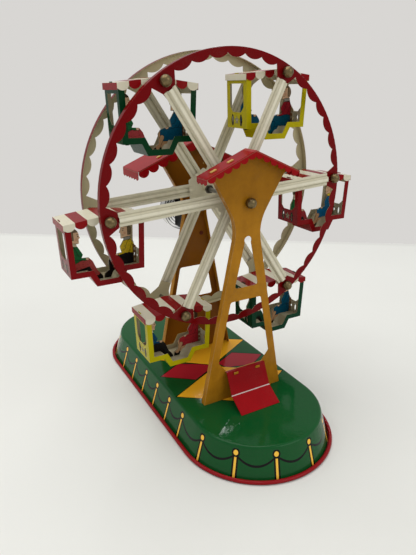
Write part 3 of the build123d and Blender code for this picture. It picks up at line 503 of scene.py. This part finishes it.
knob_crown = 84.0  # near the knob's rear end


def knob_colour(place, x, y, z):
    grain = noise(stretched(place, (1.0, 0.12, 1.0)), 1.5, 4.0)
    wood = grain.blend(paint("B58350"), paint("8F5F33"))
    rubbed = within(noise(place, 0.45, 4.0, 0.7) + (y - knob_crown) * 0.02 - 0.72, 0.05)
    return rubbed.blend(paint("96121A"), wood)


dress(enamel("knob_paint", knob_colour, chips=0.4, gloss=0.28), "crank_knob")

# ---------------------------------------------------------------- the wheel's rings
# Two rings rolled to an angle, with a scalloped web. Only their outer faces are red; the faces
# that look at each other are stoved in cream, and that cream is darkened with painted shade.

ring_face = 27.3  # from the wheel's middle to a ring's outer face
ring_radius = 125.2
axle_z = 224.3


def from_axle(x, z):
    return (x * x + (z - axle_z).square()).math("SQRT")


def ring_colour(place, x, y, z):
    depth = (abs(y - wheel_y) - (ring_face - skin)) | (from_axle(x, z) - (ring_radius - skin))
    colour = noise(place, 0.03, 3.0).blend(paint("76050A"), paint("680408"))
    # Painted shade: the inner faces' cream is painted darker than the spiders' cream, as it looks
    # in shade.
    inner = noise(place, 0.05, 4.0).blend(paint("C0B896"), paint("AEA583"))
    return within(depth, 0.06).blend(inner, colour)


ring_enamel = enamel("ring_enamel", ring_colour, chips=1.3, gloss=0.15)
dress(ring_enamel, "front_ring", "rear_ring")

# ---------------------------------------------------------------- the spiders
# Six channelled arms and a hub plate pressed from one sheet, stoved in cream that has yellowed
# and gathered a little random grime. The dark groove lines and the darker hub are painted shade,
# and the pale line along each arm's crown is a painted highlight.

first_arm = radians(4)
arm_pitch = radians(60)
arm_root = 15.0
hub_reach = 18.0
outer_groove, inner_groove = 3.3, 1.9  # from an arm's middle line
# Half width of the painted highlight along each arm's crown.
crown_highlight_half = 1.1


def spider_colour(place, x, y, z):
    colour = noise(place, 0.04, 3.0).blend(paint("DDD8C2"), paint("D2CCB3"))
    out = from_axle(x, z)
    # Painted shade: the hub plate is painted darker.
    hub = within(hub_reach - out + noise(place, 0.2, 3.0) * 8.0, 8.0)
    colour = (hub * 0.3).blend(colour, paint("A39B7C"))
    turn = ((z - axle_z).math("ARCTAN2", x) - first_arm) / arm_pitch + 0.5
    across = abs(((turn.math("FRACT") - 0.5) * arm_pitch).math("SINE") * out)
    arm = within(out - arm_root, 6.0)
    # Painted shade: dark lines along the grooves of each channelled arm.
    outer = arm * within(0.4 - abs(across - outer_groove), 0.6)
    inner = arm * within(0.5 - abs(across - inner_groove), 0.6)
    colour = (outer * 0.45).blend(colour, paint("8F8769"))
    colour = (inner * 0.25).blend(colour, paint("9A9274"))
    # Painted highlight: a pale line along each arm's crown.
    colour = (arm * within(crown_highlight_half - across, 0.8) * 0.6).blend(colour, paint("F2EDD8"))
    grime = within(noise(place, 0.1, 5.0, 0.7) - 0.58, 0.15)
    return (grime * 0.15).blend(colour, paint("8C8468"))


spider_enamel = enamel("spider_enamel", spider_colour, chips=1.2, gloss=0.2)
dress(spider_enamel, "front_spider", "rear_spider")

# ---------------------------------------------------------------- the ball caps, nuts and rods
# Brass-plated ball caps close the axle and the rods; the plating is brown with age. The nuts on
# the axle are dark steel, and cream sleeves hold the two inner ones off the spiders' hubs.

numbers = range(1, 7)  # of the rods, clockwise from the upper left
sleeve_start, sleeve_end = 19.35, 27.4  # from the wheel's middle

made, place, *_ = material("cap_brass")
age = noise(place, 0.4, 4.0, 0.6)
pit = within(noise(place, 1.1, 4.0, 0.7) - 0.6, 0.08)
plating = (pit * 0.7).blend(age.blend(paint("5A4C32"), paint("8B7A56")), paint("3E3322"))
finish(made, plating, age - pit * 0.3, depth=0.0001, Metallic=0.9 - pit * 0.4,
       Roughness=age * 0.2 + 0.22 + pit * 0.2)
dress(made, "axle_cap", *[f"rod_caps_{k}" for k in numbers])

made, place, _, y, _ = material("hub_fixings")
reach = abs(y - wheel_y)
sleeve = within(reach - sleeve_start, 0.06) * within(sleeve_end - reach, 0.06)
rust = noise(place, 0.9, 4.0, 0.6)
dark = rust.blend(paint("2E2A27"), paint("4A433C"))
cream = rust.blend(paint("B5AD92"), paint("C6C0A4"))
finish(made, sleeve.blend(dark, cream), rust, depth=0.0001, Metallic=0.7 - sleeve * 0.7,
       Roughness=rust * 0.2 + 0.3)
dress(made, "hub_nuts")

drawn_rod = metal("drawn_rod", "A19E97", "76736C", roughness=0.22, grain=1.5, scale=(1.0, 0.1, 1.0))
dress(drawn_rod, *[f"hanger_rod_{k}" for k in numbers])

# ---------------------------------------------------------------- the cars
# Each car is one strip of tinplate folded into end walls, seats and a foot well, with flanges
# turned in all round. It is coloured outside and cream inside, and each end wall has a window
# over two lens-shaped slots, with a black border printed round each and a flower between them.

pivot_radius = 118.2
cars = {}
for k in numbers:
    angle = first_arm + arm_pitch * (3 - k)
    cars[k] = (pivot_radius * cos(angle), axle_z + pivot_radius * sin(angle))
car_shell = ((-34.3, -2.0), (-32.5, -48.0), (32.5, -48.0), (34.3, -2.0))
well_left = ((-16.4, -47.0), (-16.4, -48.0), (-11.1, -58.0))
well_right = ((11.1, -58.0), (16.4, -48.0), (16.4, -47.0))
car_half_depth = 16.5
end_wall = 31.8
slot_drop = 41.0  # from the rod down to the middle of the slots
slot_aside = 7.0
border_half, border_end = 2.3, 5.2
flower_radius = 2.6
petals = 5.0


def car_print(k, first, second):
    px, pz = cars[k]

    def pattern(place, x, y, z):
        u, v, w = x - px, y - wheel_y, z - pz
        depth = inside(u, w, car_shell) | inside(u, w, well_left + well_right)
        outside = within((skin - depth) | (abs(v) - (car_half_depth - skin)), 0.08)
        colour = noise(place, 0.06, 3.0).blend(paint(first), paint(second))
        wall = within(abs(u) - end_wall, 0.2)
        high = w + slot_drop
        border = border_half - abs(abs(v) - slot_aside) - (high / 5.0).square() * 1.7
        border = within(border) * within(border_end - abs(high))
        colour = (wall * border).blend(colour, paint("14120F"))
        petal = (v.math("ARCTAN2", high) * petals).math("COSINE") * 0.8
        flower = flower_radius + petal - (v * v + high.square()).math("SQRT")
        colour = (wall * within(flower + 0.3) * 0.6).blend(colour, paint("14120F"))
        colour = (wall * within(flower) * 0.6).blend(colour, paint("9C9880"))
        cream = noise(place, 0.1, 4.0).blend(paint("C9C1A5"), paint("B3AA8B"))
        return outside.blend(cream, colour)

    return pattern


coats = {
    1: ("033A1C", "022F17"),
    2: ("B8AC0A", "A69806"),
    3: ("80070D", "6E050A"),
    4: ("054028", "04331F"),
    5: ("BEB412", "AA9E0A"),
    6: ("80070D", "6E050A"),
}
for k, (first, second) in coats.items():
    pattern = car_print(k, first, second)
    dress(enamel(f"car_enamel_{k}", pattern, chips=1.2, gloss=0.18), f"car_{k}")

# ---------------------------------------------------------------- the awnings
# A folded strip with scalloped sides, striped red and cream from side to side, with one stripe to
# each scallop. Underneath it is plain cream.

awning_half = 35.5
awning_half_depth = 17.3
awning_peak = 3.0  # ridge above the rod's centre
awning_fall = 0.127
awning_scallops = 7.0
awning_lip = 35.2


def awning_print(k, lips, stripes):
    px, pz = cars[k]

    def pattern(place, x, y, z):
        u, v, w = x - px, y - wheel_y, z - pz
        step = (u + awning_half) / (2 * awning_half) * awning_scallops
        step = step.math("FLOOR").math("MODULO", 2.0)
        coat = {
            "red": noise(place, 0.08, 3.0).blend(paint("8E080F"), paint("7E060C")),
            "cream": noise(place, 0.08, 3.0).blend(paint("E0DBC6"), paint("CFC8AE")),
        }
        colour = step.blend(coat[stripes], coat[lips])
        colour = within(abs(u) - awning_lip, 0.1).blend(colour, coat[lips])
        depth = awning_peak - abs(u) * awning_fall - w
        side = (abs(v) - (awning_half_depth - skin)) | (abs(u) - (awning_half - skin))
        under = noise(place, 0.1, 4.0).blend(paint("BDB599"), paint("A8A083"))
        return within((skin - depth) | side, 0.08).blend(under, colour)

    return pattern


for k in numbers:
    lips, stripes = ("red", "cream") if k not in (2, 4) else ("cream", "red")
    pattern = awning_print(k, lips, stripes)
    dress(enamel(f"awning_enamel_{k}", pattern, chips=1.3, gloss=0.18), f"awning_{k}")

# ---------------------------------------------------------------- the passengers
# Flat cut-out children of printed tinplate, one at each end of a seat, facing each other. Every
# field of colour has a black outline, and cloth has a few drawn folds. Places in a child's print
# run outward from the car's middle and upward from the rod.

outline = paint("15110E")
dark_line = paint("1A1210")
figure_half = 0.72  # half thickness of the printed faces; past it lies the bare cut edge
waist = -42.0
collar = -23.4
shoe_top = -53.4


def capsule(u, v, a, b, radius):
    """Distance from the edge of a round-ended bar from a to b, positive inside it."""
    dx, dy = b[0] - a[0], b[1] - a[1]
    t = (((u - a[0]) * dx + (v - a[1]) * dy) / (dx**2 + dy**2)).math("ADD", 0.0, clamp=True)
    du, dv = u - a[0] - t * dx, v - a[1] - t * dy
    return radius - (du * du + dv * dv).math("SQRT")


def spot(u, v, centre, radius):
    """Distance from the edge of a disc, positive inside it."""
    return radius - ((u - centre[0]).square() + (v - centre[1]).square()).math("SQRT")


def draw(colour, shape, fill, line=0.3):
    """A printed field: black as far as its outline reaches, and its own colour inside."""
    colour = within(shape + line).blend(colour, outline)
    return within(shape - line * 0.2).blend(colour, fill)


def legs(colour, u, v, boy, cloth, stocking):
    """A boy's trousers with a bent knee, or a girl's skirt over bare shins."""
    if boy:
        thigh = capsule(u, v, (24.0, -43.0), (12.0, -40.5), 3.6)
        shin = capsule(u, v, (10.5, -42.0), (5.5, -51.0), 2.6)
        return draw(colour, thigh | shin, cloth)
    skirt = (u - 7.0) & (v + 48.0) & (-30.0 - v)
    shin = capsule(u, v, (8.5, -45.0), (4.4, -53.0), 1.9)
    return draw(draw(colour, skirt, cloth), shin, stocking)


def face(colour, place, u, v, boy, hair):
    """Hair with a few drawn locks, a red cheek, an eye, a brow and a mouth."""
    back, crown, nape = (24.0, 12.2, 19.2) if boy else (24.3, 12.6, 20.5)
    locks = within(0.06 - abs((noise(place, 0.5, 2.0) * 5.0).math("FRACT") - 0.5), 0.06) * 0.6
    hairline = ((u - back) | (v + crown)) & (v + nape)
    colour = draw(colour, hairline, locks.blend(paint(hair), dark_line))
    cheek = within(spot(u, v, (21.4, -18.8), 1.2), 1.2)
    colour = (cheek * 0.35).blend(colour, paint("B4553F"))
    eye = spot(u, v, (20.0, -16.2), 0.5) | capsule(u, v, (19.2, -14.7), (21.0, -14.5), 0.2)
    mouth = capsule(u, v, (18.9, -20.2), (20.3, -20.5), 0.2)
    return within(eye | mouth, 0.1).blend(colour, dark_line)


def child(place, u, v, boy, top, scarf, lower, leg, hair):
    """One child's print, from the shoes up."""
    flesh = paint("D3AE8C")
    folds = (noise(place, 0.22, 2.0) * 7.0).math("FRACT")
    crease = within(0.05 - abs(folds - 0.5), 0.05) * 0.75
    shirt, cloth = crease.blend(paint(top), outline), crease.blend(paint(lower), outline)
    colour = within(v - shoe_top, 0.2).blend(outline, paint(leg))
    colour = legs(colour, u, v, boy, cloth, paint(leg))
    hem, slope, chin = (-37.0, 0.45, -22.6) if boy else (-35.0, 0.25, -23.2)
    body = (v - waist) & (collar - v) & (u - 12.0) & (v - hem + (u - 17.0) * slope)
    upper_arm = capsule(u, v, (25.6, -27.5), (22.8, -35.0), 2.2)
    forearm = capsule(u, v, (22.8, -35.0), (15.5, -36.6), 1.7)
    hand = spot(u, v, (13.4, -36.8), 1.5)
    knot = capsule(u, v, (20.6, -24.0), (25.4, -23.4), 1.3)
    colour = draw(colour, body, shirt)
    colour = draw(colour, upper_arm | forearm, shirt)
    colour = draw(colour, hand, flesh)
    colour = draw(colour, v - chin, flesh)
    colour = draw(colour, knot, paint(scarf))
    colour = face(colour, place, u, v, boy, hair)
    if boy:
        return colour
    chair = (u - 28.4) & (-30.0 - v)
    return draw(colour, chair, paint("6E4E30"))


def pair_print(k, boy_dress, girl_dress):
    px, pz = cars[k]

    def pattern(place, x, y, z):
        u, v = x - px, z - pz
        left_side = child(place, u * -1, v, True, *boy_dress)
        right_side = child(place, u, v, False, *girl_dress)
        colour = within(u, 0.05).blend(left_side, right_side)
        edge = within(figure_half - abs(y - wheel_y), 0.05)
        return (edge * 0.9).blend(colour, paint("8E8468"))

    return pattern


# The boy's and the girl's top, scarf, trousers or skirt, leg and hair, for each car.
dresses = {
    1: (
        ("11602F", "C9BFA2", "A83B3E", "15110E", "4A3423"),
        ("034D69", "034D69", "034D69", "B58C66", "5A3B22"),
    ),
    2: (
        ("034D69", "C9A72B", "034D69", "15110E", "4A3423"),
        ("8E1A26", "8D8A80", "024A60", "024A60", "8A7458"),
    ),
    3: (
        ("11602F", "C9BFA2", "A32A30", "15110E", "4A3423"),
        ("07577F", "D9B82B", "07577F", "B58C66", "C9B68F"),
    ),
    4: (
        ("0F4A2C", "C9BFA2", "0F3D28", "15110E", "3C2A1C"),
        ("044A62", "044A62", "044A62", "B58C66", "4A3423"),
    ),
    5: (
        ("044B70", "D5D0C2", "1C1A1A", "15110E", "5A452F"),
        ("A3242C", "A3242C", "A3242C", "B58C66", "4A3423"),
    ),
    6: (
        ("11602F", "B9AE92", "A8423F", "15110E", "76644C"),
        ("C7A91E", "8D8A80", "1C1A1A", "15110E", "6E5E48"),
    ),
}
for k, pair in dresses.items():
    pattern = pair_print(k, *pair)
    dress(enamel(f"passenger_print_{k}", pattern, chips=0.8, gloss=0.22), f"passengers_{k}")
